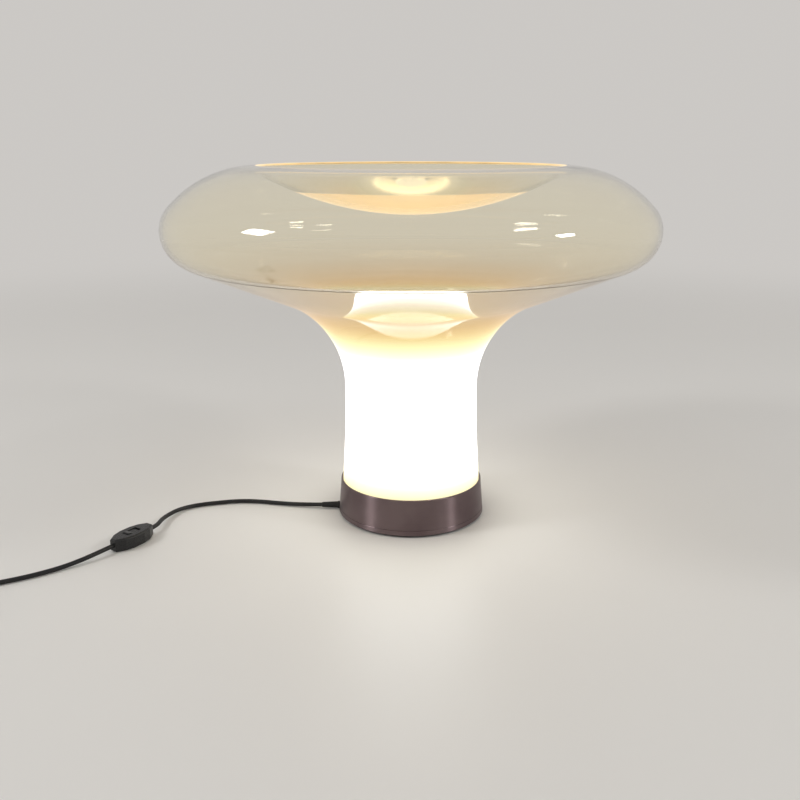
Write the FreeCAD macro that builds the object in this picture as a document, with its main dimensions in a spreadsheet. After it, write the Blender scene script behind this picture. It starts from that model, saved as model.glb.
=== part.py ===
import FreeCAD, Part
import math
import operator
import os
from types import SimpleNamespace

import Sketcher

Vector = FreeCAD.Vector

# Driving dimensions in millimetres and degrees. Z is up, the table is at z = 0 and the
# lamp's axis is x = y = 0. The cord leaves towards -X.
dimensions = {
    # blown glass, one wall thickness all over
    "glass_wall": 3.2,
    "neck_curve_radius": 150.0,
    "neck_top_height": 52.0,
    "waist_radius": 71.6,
    "waist_height": 146.5,
    "stem_curve_radius": 1150.0,
    "flare_radius": 105.7,
    "underside_slope": 22.6,
    "cap_radius": 255.0,
    "cap_height": 317.4,
    "shoulder_radius": 33.7,
    "shoulder_angle": 40.8,
    "rim_radius": 158.0,
    "rim_angle": 90.0,
    "fold_radius": 5.0,
    "fold_slope": 45.0,
    "dish_edge_radius": 20.0,
    "dish_slope": 30.0,
    # stack of the base
    "pad_radius": 74.0,
    "pad_thickness": 2.0,
    "plate_radius": 79.2,
    "plate_thickness": 8.0,
    "post_circle_radius": 55.0,
    "post_radius": 5.0,
    "post_length": 6.0,
    "seat_radius": 76.0,
    "seat_thickness": 2.0,
    "gasket_inner_radius": 68.0,
    "gasket_thickness": 2.0,
    "tapped_radius": 2.0,
    # metal ring
    "ring_foot_radius": 81.4,
    "ring_lip_radius": 78.4,
    "ring_height": 38.8,
    "ring_bore_radius": 76.5,
    "ring_lip_round": 0.9,
    "ring_ledge_radius": 71.0,
    "ring_ledge_thickness": 3.0,
    "ring_step_radius": 78.0,
    "ring_foot_bore_radius": 79.7,
    "ring_line_height": 5.0,
    "ring_line_depth": 0.6,
    # cord, its bush in the ring and its clamp
    "cord_radius": 2.3,
    "cord_exit_height": 4.4,
    "notch_radius": 3.8,
    "bush_collar_radius": 4.1,
    "bush_collar_length": 1.6,
    "bush_root_radius": 3.7,
    "bush_tip_radius": 2.9,
    "bush_length": 20.0,
    "bush_inside": 2.0,
    "inner_cord_end": 32.0,
    "slot_end": 4.0,
    "clamp_place": 52.0,
    "clamp_length": 26.0,
    "clamp_width": 9.0,
    "clamp_thickness": 2.0,
    "clamp_screw_spread": 9.0,
    "clamp_screw_radius": 1.5,
    # lampholder and what carries it
    "grommet_bore": 4.2,
    "grommet_waist_radius": 8.0,
    "grommet_flange_radius": 9.8,
    "bracket_height": 17.5,
    "bracket_width": 20.0,
    "bracket_sheet": 1.5,
    "bracket_half_top": 17.0,
    "bracket_half_foot": 32.0,
    "bracket_hole_place": 26.0,
    "nipple_radius": 5.0,
    "nipple_bore": 3.9,
    "nipple_length": 13.0,
    "nipple_start": 12.0,
    "nut_flats": 14.0,
    "nut_thickness": 3.0,
    "washer_radius": 9.0,
    "washer_thickness": 1.0,
    "holder_radius": 20.0,
    "holder_wall": 1.6,
    "holder_cap_height": 20.0,
    "holder_skirt_height": 36.0,
    "insert_height": 6.5,
    "terminal_spread": 9.0,
    "terminal_radius": 1.5,
    "screw_shell_radius": 13.9,
    "screw_shell_wall": 0.4,
    "screw_shell_height": 27.0,
    "thread_pitch": 3.6,
    # bulb
    "bulb_tip_height": 66.0,
    "bulb_globe_radius": 30.0,
    "bulb_length": 105.0,
    "bulb_cap_radius": 13.0,
    "bulb_cap_length": 27.0,
    "bulb_neck_radius": 12.6,
    "bulb_glass_wall": 0.7,
    # inline switch
    "switch_x": -290.6,
    "switch_y": -93.4,
    "switch_heading": 238.0,
    "switch_length": 50.0,
    "switch_width": 24.0,
    "switch_half_height": 6.8,
    "switch_end_width": 7.6,
    "switch_flat": 13.0,
    "switch_corner_inset": 9.0,
    "switch_corner_drop": 2.4,
    "switch_wall": 1.5,
    "switch_round": 2.4,
    "switch_screw_x": 13.0,
    "switch_screw_y": 5.6,
    "switch_screw_radius": 1.0,
    "switch_boss_radius": 1.9,
    "rocker_length": 17.0,
    "rocker_width": 8.0,
    "rocker_tilt": 8.0,
    "window_gap": 0.5,
    "pivot_height": 10.6,
    "pivot_radius": 1.0,
    "pivot_clearance": 0.05,
    "pivot_length": 12.4,
    # coil of the cord that is put away
    "coil_x": -421.5,
    "coil_y": -247.4,
    "coil_heading": 209.4,
    "coil_inner_radius": 19.2,
    "coil_pitch": 6.0,
    "coil_layer_step": 6.0,
    "coil_half_turns_in": 7,
    "coil_half_turns_out": 6,
    # flat two-pin plug
    "plug_x": -482.8,
    "plug_y": -290.7,
    "plug_heading": 260.0,
    "plug_axis_height": 7.0,
    "plug_length": 35.0,
    "plug_width": 35.3,
    "plug_thickness": 13.7,
    "plug_relief_length": 22.0,
    "pin_radius": 2.0,
    "pin_length": 19.0,
    "pin_root": 9.0,
    "pin_root_radius": 1.5,
    "pin_round": 0.8,
    "pin_spread": 18.6,
}

os.makedirs("parts", exist_ok=True)
doc = FreeCAD.newDocument("MushroomLamp")
sheet = doc.addObject("Spreadsheet::Sheet", "Sizes")
for row, (alias, value) in enumerate(dimensions.items(), start=1):
    sheet.set("A%d" % row, alias)
    sheet.set("B%d" % row, str(value))
    sheet.setAlias("B%d" % row, alias)
doc.recompute()


class Size:
    # A number together with the sheet expression that it comes from.
    def __init__(self, value, text):
        self.value = value
        self.text = text

    def __add__(self, other):
        return combine(self, "+", other)

    def __radd__(self, other):
        return combine(other, "+", self)

    def __sub__(self, other):
        return combine(self, "-", other)

    def __rsub__(self, other):
        return combine(other, "-", self)

    def __mul__(self, other):
        return combine(self, "*", other)

    def __rmul__(self, other):
        return combine(other, "*", self)

    def __truediv__(self, other):
        return combine(self, "/", other)

    def __neg__(self):
        return combine(0, "-", self)


operations = {"+": operator.add, "-": operator.sub, "*": operator.mul, "/": operator.truediv}


def number(item):
    return item.value if isinstance(item, Size) else float(item)


def expression(item):
    return item.text if isinstance(item, Size) else "%.9g" % item


def combine(first, sign, second):
    value = operations[sign](number(first), number(second))
    return Size(value, "(%s %s %s)" % (expression(first), sign, expression(second)))


def sine(angle):
    return Size(math.sin(math.radians(number(angle))), "sin(%s)" % expression(angle))


def cosine(angle):
    return Size(math.cos(math.radians(number(angle))), "cos(%s)" % expression(angle))


def tangent(angle):
    return Size(math.tan(math.radians(number(angle))), "tan(%s)" % expression(angle))


def arcsine(ratio):
    return Size(math.degrees(math.asin(number(ratio))), "asin(%s)" % expression(ratio))


d = SimpleNamespace(**{alias: Size(float(value), "Sizes." + alias) for alias, value in dimensions.items()})
parts = []


# Bodies, sketches and features


def newBody(name):
    body = doc.addObject("PartDesign::Body", name)
    body.Label = name
    return body


def keep(item, name):
    item.Label = name
    parts.append((name, item))
    return item


def place(item, x=0, y=0, z=0, heading=0):
    turn = FreeCAD.Rotation(Vector(0, 0, 1), number(heading))
    item.Placement = FreeCAD.Placement(Vector(number(x), number(y), number(z)), turn)
    for axis, value in (("x", x), ("y", y), ("z", z)):
        if isinstance(value, Size):
            item.setExpression("Placement.Base." + axis, value.text)
    return item


def newSketch(body, role="XY_Plane", lift=0):
    sketch = body.newObject("Sketcher::SketchObject", body.Name + "Sketch")
    plane = [item for item in body.Origin.OriginFeatures if item.Role == role][0]
    sketch.AttachmentSupport = (plane, [""])
    sketch.MapMode = "FlatFace"
    sketch.AttachmentOffset = FreeCAD.Placement(Vector(0, 0, number(lift)), FreeCAD.Rotation())
    if isinstance(lift, Size):
        sketch.setExpression("AttachmentOffset.Base.z", lift.text)
    return sketch


def constrain(sketch, kind, *items):
    *links, value = items
    index = sketch.addConstraint(Sketcher.Constraint(kind, *links, number(value)))
    if isinstance(value, Size):
        sketch.setExpression("Constraints[%d]" % index, value.text)


def fixPoint(sketch, piece, end, x, y):
    if number(x) == 0:
        sketch.addConstraint(Sketcher.Constraint("PointOnObject", piece, end, -2))
    else:
        constrain(sketch, "DistanceX", -1, 1, piece, end, x)
    if number(y) == 0:
        sketch.addConstraint(Sketcher.Constraint("PointOnObject", piece, end, -1))
    else:
        constrain(sketch, "DistanceY", -1, 1, piece, end, y)


def arcGeometry(start, end, radius, side):
    chord = end.sub(start)
    half = chord.Length / 2
    rise = math.sqrt(max(radius * radius - half * half, 0))
    left = Vector(-chord.y, chord.x, 0).normalize()
    centre = (start + end) * 0.5 + left * (side * rise)
    first, last = (start, end) if side > 0 else (end, start)
    angles = [math.atan2(point.y - centre.y, point.x - centre.x) for point in (first, last)]
    circle = Part.Circle(centre, Vector(0, 0, 1), radius)
    return Part.ArcOfCircle(circle, angles[0], angles[1])


def drawOutline(sketch, points, arcs=None):
    # points go round the outline. arcs maps a point's place in the list to the radius of the
    # arc that leaves it and the side of its centre: 1 is left of the way there, -1 right.
    arcs = arcs or {}
    count = len(points)
    vectors = [Vector(number(x), number(y), 0) for x, y in points]
    ends = []
    for index in range(count):
        start = vectors[index]
        end = vectors[(index + 1) % count]
        if index in arcs:
            radius, side = arcs[index]
            piece = sketch.addGeometry(arcGeometry(start, end, number(radius), side), False)
            ends.append((piece, 1, 2) if side > 0 else (piece, 2, 1))
        else:
            piece = sketch.addGeometry(Part.LineSegment(start, end), False)
            ends.append((piece, 1, 2))
    for index in range(count):
        piece, first, last = ends[index]
        following, nextFirst, nextLast = ends[(index + 1) % count]
        sketch.addConstraint(Sketcher.Constraint("Coincident", piece, last, following, nextFirst))
    for index in range(count):
        piece, first, last = ends[index]
        fixPoint(sketch, piece, first, *points[index])
    for index, (radius, side) in arcs.items():
        constrain(sketch, "Radius", ends[index][0], radius)


def drawCircle(sketch, x, y, radius):
    centre = Vector(number(x), number(y), 0)
    piece = sketch.addGeometry(Part.Circle(centre, Vector(0, 0, 1), number(radius)), False)
    fixPoint(sketch, piece, 3, x, y)
    constrain(sketch, "Radius", piece, radius)


def rectangle(x0, y0, x1, y1):
    return [(x0, y0), (x1, y0), (x1, y1), (x0, y1)]


def turned(body, points, arcs=None, cut=False):
    # Turns an outline of radius and height about the body's Z axis.
    sketch = newSketch(body, "XZ_Plane")
    drawOutline(sketch, points, arcs)
    kind = "PartDesign::Groove" if cut else "PartDesign::Revolution"
    feature = body.newObject(kind, body.Name + ("Groove" if cut else "Turned"))
    feature.Profile = sketch
    feature.ReferenceAxis = (sketch, ["V_Axis"])
    feature.Angle = 360
    return feature


def padded(body, sketch, length, middle=False):
    feature = body.newObject("PartDesign::Pad", body.Name + "Pad")
    feature.Profile = sketch
    feature.Length = number(length)
    if isinstance(length, Size):
        feature.setExpression("Length", length.text)
    feature.Midplane = middle
    return feature


def pocketed(body, sketch, depth, middle=False, up=False):
    doc.recompute()
    before = body.Shape.Volume
    feature = body.newObject("PartDesign::Pocket", body.Name + "Pocket")
    feature.Profile = sketch
    feature.Length = number(depth)
    if isinstance(depth, Size):
        feature.setExpression("Length", depth.text)
    feature.Midplane = middle
    feature.Reversed = up
    doc.recompute()
    if body.Shape.Volume > before - 0.01:
        raise ValueError("a pocket of %s cuts nothing" % body.Name)
    return feature


def rounded(body, radius, wanted, kind="PartDesign::Fillet"):
    # Rounds or chamfers the edges of the tip for which wanted(edge) is true.
    doc.recompute()
    tip = body.Tip
    names = ["Edge%d" % (i + 1) for i, edge in enumerate(tip.Shape.Edges) if wanted(edge)]
    if not names:
        raise ValueError("no edge to round on %s" % body.Name)
    feature = body.newObject(kind, body.Name + "Round")
    feature.Base = (tip, names)
    bound = "Radius" if kind == "PartDesign::Fillet" else "Size"
    setattr(feature, bound, number(radius))
    if isinstance(radius, Size):
        feature.setExpression(bound, radius.text)
    doc.recompute()
    return feature


def flatAt(height):
    # True for an edge that lies at this height of the body's own frame.
    return lambda edge: all(abs(vertex.Z - number(height)) < 1e-4 for vertex in edge.Vertexes)


def turnedPart(name, points, arcs=None, z=0):
    body = newBody(name)
    turned(body, points, arcs)
    place(body, z=z)
    return keep(body, name)


def group(name, single, placements):
    # One node of identical solids: copies of a single piece that is modelled once.
    doc.recompute()
    copies = []
    for placement in placements:
        copy = single.Shape.copy()
        copy.Placement = placement.multiply(copy.Placement)
        copies.append(copy)
    feature = doc.addObject("Part::Feature", name)
    feature.Shape = Part.makeCompound(copies)
    return keep(feature, name)


def shift(x=0, y=0, z=0, axis=Vector(0, 0, 1), angle=0):
    place = Vector(number(x), number(y), number(z))
    return FreeCAD.Placement(place, FreeCAD.Rotation(axis, number(angle)))


def ringPlaces(radius, angles, z=0):
    return [shift(number(radius) * math.cos(math.radians(a)), number(radius) * math.sin(math.radians(a)), z)
            for a in angles]


# Heights of the stack, from the table up

plateBase = d.pad_thickness
plateTop = plateBase + d.plate_thickness
seatBase = plateTop + d.post_length
seatTop = seatBase + d.seat_thickness
glassBase = seatTop + d.gasket_thickness
bracketTop = seatTop + d.bracket_height
holderBase = bracketTop + d.washer_thickness
skirtBase = holderBase + d.holder_cap_height
holderTop = skirtBase + d.holder_skirt_height


# Glass: each junction of its outline is a radius, a height and the angle of the outward
# normal above the horizontal, and the inner outline is the same one wall further in.


def glassOutline():
    lean = 90 - d.underside_slope
    neckTilt = arcsine((d.waist_height - d.neck_top_height) / d.stem_curve_radius)
    stemRadius = d.waist_radius + d.stem_curve_radius * (1 - cosine(neckTilt))
    neckLowHeight = d.neck_top_height - d.neck_curve_radius * sine(neckTilt)
    neckRadius = stemRadius + d.neck_curve_radius * (1 - cosine(neckTilt))
    flareEnd = (d.waist_radius + d.flare_radius * (1 - cosine(lean)),
                d.waist_height + d.flare_radius * sine(lean))
    slope = tangent(d.underside_slope)
    toWidest = d.cap_height - flareEnd[1] - slope * (d.cap_radius - flareEnd[0])
    lowRadius = toWidest / (sine(lean) - slope * (1 - cosine(lean)))
    lowStart = (d.cap_radius - lowRadius * (1 - cosine(lean)), d.cap_height - lowRadius * sine(lean))
    shoulder = (d.cap_radius - d.shoulder_radius * (1 - cosine(d.shoulder_angle)),
                d.cap_height + d.shoulder_radius * sine(d.shoulder_angle))
    crownRadius = (shoulder[0] - d.rim_radius) / (cosine(d.shoulder_angle) - cosine(d.rim_angle))
    rimHeight = shoulder[1] + crownRadius * (sine(d.rim_angle) - sine(d.shoulder_angle))
    foldAngle = 90 + d.fold_slope
    fold = (d.rim_radius - d.fold_radius * (cosine(d.rim_angle) - cosine(foldAngle)),
            rimHeight - d.fold_radius * (sine(d.rim_angle) - sine(foldAngle)))
    dishAngle = 90 + d.dish_slope
    dish = (fold[0] + d.dish_edge_radius * (cosine(foldAngle) - cosine(dishAngle)),
            fold[1] + d.dish_edge_radius * (sine(foldAngle) - sine(dishAngle)))
    bowlRadius = dish[0] / sine(d.dish_slope)
    bowlHeight = dish[1] - bowlRadius * (1 - cosine(d.dish_slope))
    junctions = [
        (neckRadius, glassBase, 0, None),
        (neckRadius, neckLowHeight, 0, (d.neck_curve_radius, 1)),
        (stemRadius, d.neck_top_height, neckTilt, (d.stem_curve_radius, -1)),
        (d.waist_radius, d.waist_height, 0, (d.flare_radius, -1)),
        (flareEnd[0], flareEnd[1], -lean, None),
        (lowStart[0], lowStart[1], -lean, (lowRadius, 1)),
        (d.cap_radius, d.cap_height, 0, (d.shoulder_radius, 1)),
        (shoulder[0], shoulder[1], d.shoulder_angle, (crownRadius, 1)),
        (d.rim_radius, rimHeight, d.rim_angle, (d.fold_radius, 1)),
        (fold[0], fold[1], foldAngle, (d.dish_edge_radius, -1)),
        (dish[0], dish[1], dishAngle, (bowlRadius, -1)),
    ]
    return junctions, bowlHeight


def buildGlass():
    junctions, bowlHeight = glassOutline()
    points = [(radius, height) for radius, height, normal, bend in junctions]
    arcs = {i: bend for i, (radius, height, normal, bend) in enumerate(junctions) if bend}
    points.append((0, bowlHeight))
    points.append((0, bowlHeight - d.glass_wall))
    for radius, height, normal, bend in reversed(junctions):
        points.append((radius - d.glass_wall * cosine(normal), height - d.glass_wall * sine(normal)))
    for i, (radius, side) in list(arcs.items()):
        back = 2 * len(junctions) - i
        arcs[back] = (radius - side * d.glass_wall, -side)
    body = newBody("glass_diffuser")
    turned(body, points, arcs)
    keep(body, "glass_diffuser")
    highest = max(number(height) for radius, height, normal, bend in junctions)
    print("glass: rim %.1f high, dish %.1f deep" % (highest, highest - number(bowlHeight)))


# Base


def buildPad():
    turnedPart("base_pad", rectangle(0, 0, d.pad_radius, d.pad_thickness))


def buildPlate():
    body = newBody("base_plate")
    turned(body, rectangle(0, 0, d.plate_radius, d.plate_thickness))
    slot = newSketch(body, lift=d.plate_thickness)
    halfSlot = d.notch_radius + 0.1
    drawOutline(slot, rectangle(-d.plate_radius - 1, -halfSlot, -d.slot_end, halfSlot))
    pocketed(body, slot, d.plate_thickness)
    holes = newSketch(body, lift=d.plate_thickness)
    for side in (-1, 1):
        drawCircle(holes, -d.clamp_place, side * d.clamp_screw_spread, d.clamp_screw_radius)
    pocketed(body, holes, d.clamp_thickness * 3)
    screwHole = newSketch(body, lift=d.plate_thickness)
    drawCircle(screwHole, d.post_circle_radius, 0, d.tapped_radius)
    through = pocketed(body, screwHole, d.plate_thickness)
    sink = newSketch(body)
    drawCircle(sink, d.post_circle_radius, 0, 2 * d.tapped_radius)
    countersink = pocketed(body, sink, d.tapped_radius, up=True)
    countersink.TaperAngle = -45
    doc.recompute()
    pattern = body.newObject("PartDesign::PolarPattern", "PlateHoles")
    pattern.Originals = [through, countersink]
    pattern.Axis = (screwHole, ["N_Axis"])
    pattern.Angle = 360
    pattern.Occurrences = 3
    body.Tip = pattern
    place(body, z=plateBase)
    keep(body, "base_plate")


def buildRing():
    # Outline from the foot's inner edge out, up the tapered wall, over the lip and down inside.
    taper = (d.ring_foot_radius - d.ring_lip_radius) / d.ring_height
    lipTop = d.ring_height
    lipBevel = 0.4
    lineLow = d.ring_line_height
    lineRadius = d.ring_foot_radius - taper * lineLow
    ledgeTop = seatBase - plateBase
    ledgeBase = ledgeTop - d.ring_ledge_thickness
    points = [
        (d.ring_foot_bore_radius, 0),
        (d.ring_foot_radius - d.ring_line_depth, 0),
        (d.ring_foot_radius, d.ring_line_depth),
        (lineRadius, lineLow),
        (lineRadius - d.ring_line_depth, lineLow + d.ring_line_depth),
        (lineRadius - taper * 2 * d.ring_line_depth, lineLow + 2 * d.ring_line_depth),
        (d.ring_lip_radius, lipTop - d.ring_lip_round),
        (d.ring_lip_radius - d.ring_lip_round, lipTop),
        (d.ring_bore_radius + lipBevel, lipTop),
        (d.ring_bore_radius, lipTop - lipBevel),
        (d.ring_bore_radius, ledgeTop),
        (d.ring_ledge_radius, ledgeTop),
        (d.ring_ledge_radius, ledgeBase),
        (d.ring_step_radius, ledgeBase),
        (d.ring_step_radius, d.plate_thickness),
        (d.ring_foot_bore_radius, d.plate_thickness),
    ]
    body = newBody("base_ring")
    turned(body, points, {6: (d.ring_lip_round, 1)})
    # notch for the cord, open at the foot
    notch = newSketch(body, "YZ_Plane", lift=-d.ring_foot_radius - 1)
    middle = d.cord_exit_height - plateBase
    r = d.notch_radius
    outline = [(-r, -1), (r, -1), (r, middle), (0, middle + r), (-r, middle)]
    drawOutline(notch, outline, {2: (r, 1), 3: (r, 1)})
    pocketed(body, notch, d.ring_foot_radius - d.ring_step_radius + 3, up=True)
    place(body, z=plateBase)
    keep(body, "base_ring")


def buildSeat():
    body = newBody("seat_plate")
    turned(body, rectangle(0, 0, d.seat_radius, d.seat_thickness))
    centre = newSketch(body, lift=d.seat_thickness)
    drawCircle(centre, 0, 0, d.grommet_waist_radius)
    for side in (-1, 1):
        drawCircle(centre, side * d.bracket_hole_place, 0, d.tapped_radius)
    for angle in (0, 120, 240):
        drawCircle(centre, d.post_circle_radius * cosine(angle), d.post_circle_radius * sine(angle)
                   if angle else 0, d.tapped_radius)
    pocketed(body, centre, d.seat_thickness)
    place(body, z=seatBase)
    keep(body, "seat_plate")


def pillar(name, radius, length, bore):
    body = newBody(name)
    turned(body, rectangle(bore, 0, radius, length))
    return body


def screw(name, shank, length, head, headHeight, sunk=False):
    # Slotted screw with its head's underside at z = 0 and its shank below, or a sunk head
    # whose top is at z = 0.
    body = newBody(name)
    if sunk:
        points = [(0, 0), (head, 0), (shank, -headHeight), (shank, -length), (0, -length)]
        arcs = None
        top = 0
    else:
        points = [(0, headHeight), (head * 0.6, headHeight), (head, headHeight * 0.4), (head, 0), (shank, 0),
                  (shank, -length), (0, -length)]
        arcs = {1: (head * 0.75, -1)}
        top = headHeight
    turned(body, points, arcs)
    slot = newSketch(body, lift=top)
    drawOutline(slot, rectangle(-head - 1, -head * 0.12, head + 1, head * 0.12))
    pocketed(body, slot, headHeight * 0.4)
    return body


def buildFasteners():
    angles = (0, 120, 240)
    post = pillar("post", d.post_radius, d.post_length, d.tapped_radius)
    group("spacer_posts", post, ringPlaces(d.post_circle_radius, angles, plateTop))
    low = screw("sunk_screw", d.tapped_radius, d.plate_thickness + d.post_length * 0.5, 2 * d.tapped_radius,
                d.tapped_radius, sunk=True)
    flip = FreeCAD.Placement(Vector(0, 0, 0), FreeCAD.Rotation(Vector(1, 0, 0), 180))
    places = [item.multiply(flip) for item in ringPlaces(d.post_circle_radius, angles, plateBase)]
    group("base_screws", low, places)
    high = screw("seat_screw", d.tapped_radius, d.seat_thickness + d.post_length * 0.4, 2 * d.tapped_radius,
                 d.tapped_radius * 1.2)
    group("seat_screws", high, ringPlaces(d.post_circle_radius, angles, seatTop))
    foot = screw("foot_screw", d.tapped_radius, d.seat_thickness + d.bracket_sheet + 1, 2 * d.tapped_radius,
                 d.tapped_radius * 1.2)
    footTop = seatTop + d.bracket_sheet
    group("bracket_screws", foot, [shift(side * d.bracket_hole_place, 0, footTop) for side in (-1, 1)])
    small = screw("clamp_screw", d.clamp_screw_radius, d.clamp_thickness * 3, 2 * d.clamp_screw_radius,
                  d.clamp_screw_radius * 1.2)
    places = [shift(-d.clamp_place, side * d.clamp_screw_spread, plateTop + d.clamp_thickness)
              for side in (-1, 1)]
    group("cord_clamp_screws", small, places)


def buildClamp():
    # Bar across the plate's slot with a rib that presses on the cord.
    body = newBody("cord_clamp")
    bar = newSketch(body)
    halfLength = d.clamp_length / 2
    halfWidth = d.clamp_width / 2
    drawOutline(bar, rectangle(-halfWidth, -halfLength, halfWidth, halfLength))
    padded(body, bar, d.clamp_thickness)
    holes = newSketch(body, lift=d.clamp_thickness)
    for side in (-1, 1):
        drawCircle(holes, 0, side * d.clamp_screw_spread, d.clamp_screw_radius)
    pocketed(body, holes, d.clamp_thickness)
    cordTop = d.cord_exit_height + d.cord_radius
    rib = newSketch(body, lift=cordTop - plateTop)
    halfRib = (halfWidth - 1, d.notch_radius - 0.3)
    drawOutline(rib, rectangle(-halfRib[0], -halfRib[1], halfRib[0], halfRib[1]))
    padded(body, rib, plateTop - cordTop)
    place(body, x=-d.clamp_place, z=plateTop)
    keep(body, "cord_clamp")


def buildGasket():
    section = rectangle(d.gasket_inner_radius, 0, d.seat_radius, d.gasket_thickness)
    turnedPart("glass_gasket", section, z=seatTop)


def buildBush():
    # Turned about its own Z, then laid along -X. Its groove holds the ring's wall, and the
    # tapered sleeve outside spares the cord.
    wallOuter = d.ring_foot_radius - d.ring_step_radius
    inside = d.bush_inside
    collar = wallOuter + d.bush_collar_length
    tip = wallOuter + d.bush_length
    neck = d.notch_radius - 0.05
    bevel = 0.6
    points = [
        (d.cord_radius, -inside),
        (neck, -inside),
        (neck, wallOuter),
        (d.bush_collar_radius, wallOuter),
        (d.bush_collar_radius, collar),
        (d.bush_root_radius, collar + bevel),
        (d.bush_tip_radius, tip - bevel),
        (d.bush_tip_radius - bevel / 2, tip),
        (d.cord_radius, tip),
    ]
    body = newBody("cord_bush")
    turned(body, points)
    body.Placement = shift(-d.ring_step_radius, 0, d.cord_exit_height, Vector(0, 1, 0), -90)
    keep(body, "cord_bush")
    return -number(d.ring_step_radius + tip)


def buildInnerCord(exitX):
    body = newBody("cord_inner")
    sketch = newSketch(body)
    drawCircle(sketch, 0, 0, d.cord_radius)
    padded(body, sketch, -exitX - d.inner_cord_end)
    body.Placement = shift(-d.inner_cord_end, 0, d.cord_exit_height, Vector(0, 1, 0), -90)
    keep(body, "cord_inner")


# Lampholder


def buildGrommet():
    flange = 1.0
    points = [
        (d.grommet_bore, -flange),
        (d.grommet_flange_radius, -flange),
        (d.grommet_flange_radius, 0),
        (d.grommet_waist_radius, 0),
        (d.grommet_waist_radius, d.seat_thickness),
        (d.grommet_flange_radius, d.seat_thickness),
        (d.grommet_flange_radius, d.seat_thickness + flange),
        (d.grommet_bore, d.seat_thickness + flange),
    ]
    turnedPart("lead_grommet", points, z=seatBase)


def buildBracket():
    body = newBody("holder_bracket")
    side = newSketch(body, "XZ_Plane")
    t = d.bracket_sheet
    top = d.bracket_height
    half = d.bracket_half_top
    foot = d.bracket_half_foot
    points = [
        (-foot, 0), (-half + t, 0), (-half + t, top - t), (half - t, top - t), (half - t, 0), (foot, 0),
        (foot, t), (half, t), (half, top), (-half, top), (-half, t), (-foot, t),
    ]
    drawOutline(side, points)
    padded(body, side, d.bracket_width, middle=True)
    holes = newSketch(body, lift=top)
    drawCircle(holes, 0, 0, d.nipple_radius)
    pocketed(body, holes, t)
    feet = newSketch(body, lift=t)
    for way in (-1, 1):
        drawCircle(feet, way * d.bracket_hole_place, 0, d.tapped_radius)
    pocketed(body, feet, t)
    place(body, z=seatTop)
    keep(body, "holder_bracket")


def buildNipple():
    base = seatTop + d.nipple_start
    turnedPart("holder_nipple", rectangle(d.nipple_bore, 0, d.nipple_radius, d.nipple_length), z=base)
    washer = rectangle(d.nipple_radius, 0, d.washer_radius, d.washer_thickness)
    turnedPart("nipple_washer", washer, z=bracketTop)
    body = newBody("nipple_nut")
    hexagon = newSketch(body)
    corner = d.nut_flats / 2 / cosine(30)
    corners = [(corner * cosine(a), corner * sine(a) if a % 180 else 0) for a in range(0, 360, 60)]
    drawOutline(hexagon, corners)
    drawCircle(hexagon, 0, 0, d.nipple_radius)
    padded(body, hexagon, d.nut_thickness)
    place(body, z=bracketTop - d.bracket_sheet - d.nut_thickness)
    keep(body, "nipple_nut")


def wavyWall(radius, base, height, depth):
    # Radii and heights of a rounded thread's outline, crest to root, going up.
    count = int(round(number(height) / number(d.thread_pitch)))
    points = []
    for step in range(2 * count + 1):
        crest = step % 2 == 0
        points.append((radius if crest else radius - depth, base + height * (step / (2 * count))))
    return points


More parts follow.
